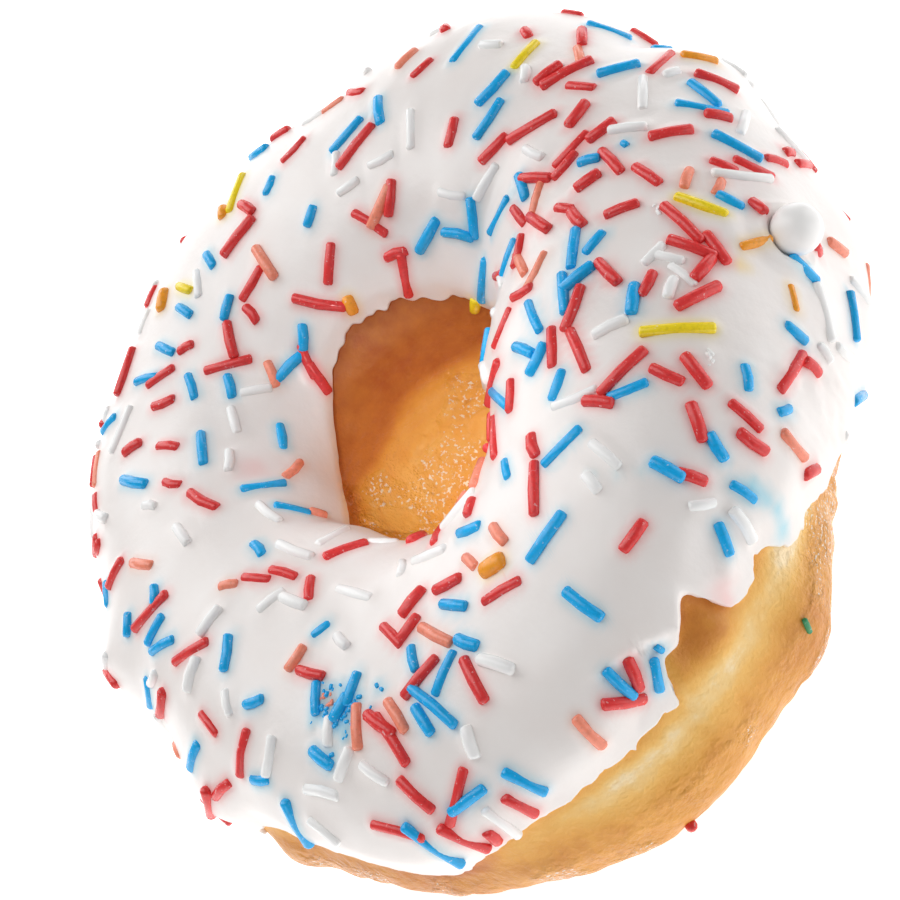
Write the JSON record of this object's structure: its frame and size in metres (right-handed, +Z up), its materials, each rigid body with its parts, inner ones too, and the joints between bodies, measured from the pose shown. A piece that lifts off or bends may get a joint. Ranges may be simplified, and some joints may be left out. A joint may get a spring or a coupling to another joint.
{
  "type": "sprinkle frosted doughnut",
  "caption": "Ring doughnut of golden fried dough, capped with thick white icing and strewn with coloured sugar sprinkles, with one white sugar pearl.",
  "frame": {"origin": "centre of the doughnut's box, on the surface it rests on", "axes": "+Z up through the hole, square to the ring; +X towards the ring's tallest side"},
  "size_m": [0.0908, 0.096, 0.0353],
  "materials": {
    "dough": "golden fried crust, satin, with a pale waist",
    "icing": "soft gloss",
    "sugar": "polished sugar"
  },
  "bodies": {
    "root": {"dough": "dough", "icing": "icing", "sugar_pearl": "sugar"}
  },
  "joints": []
}
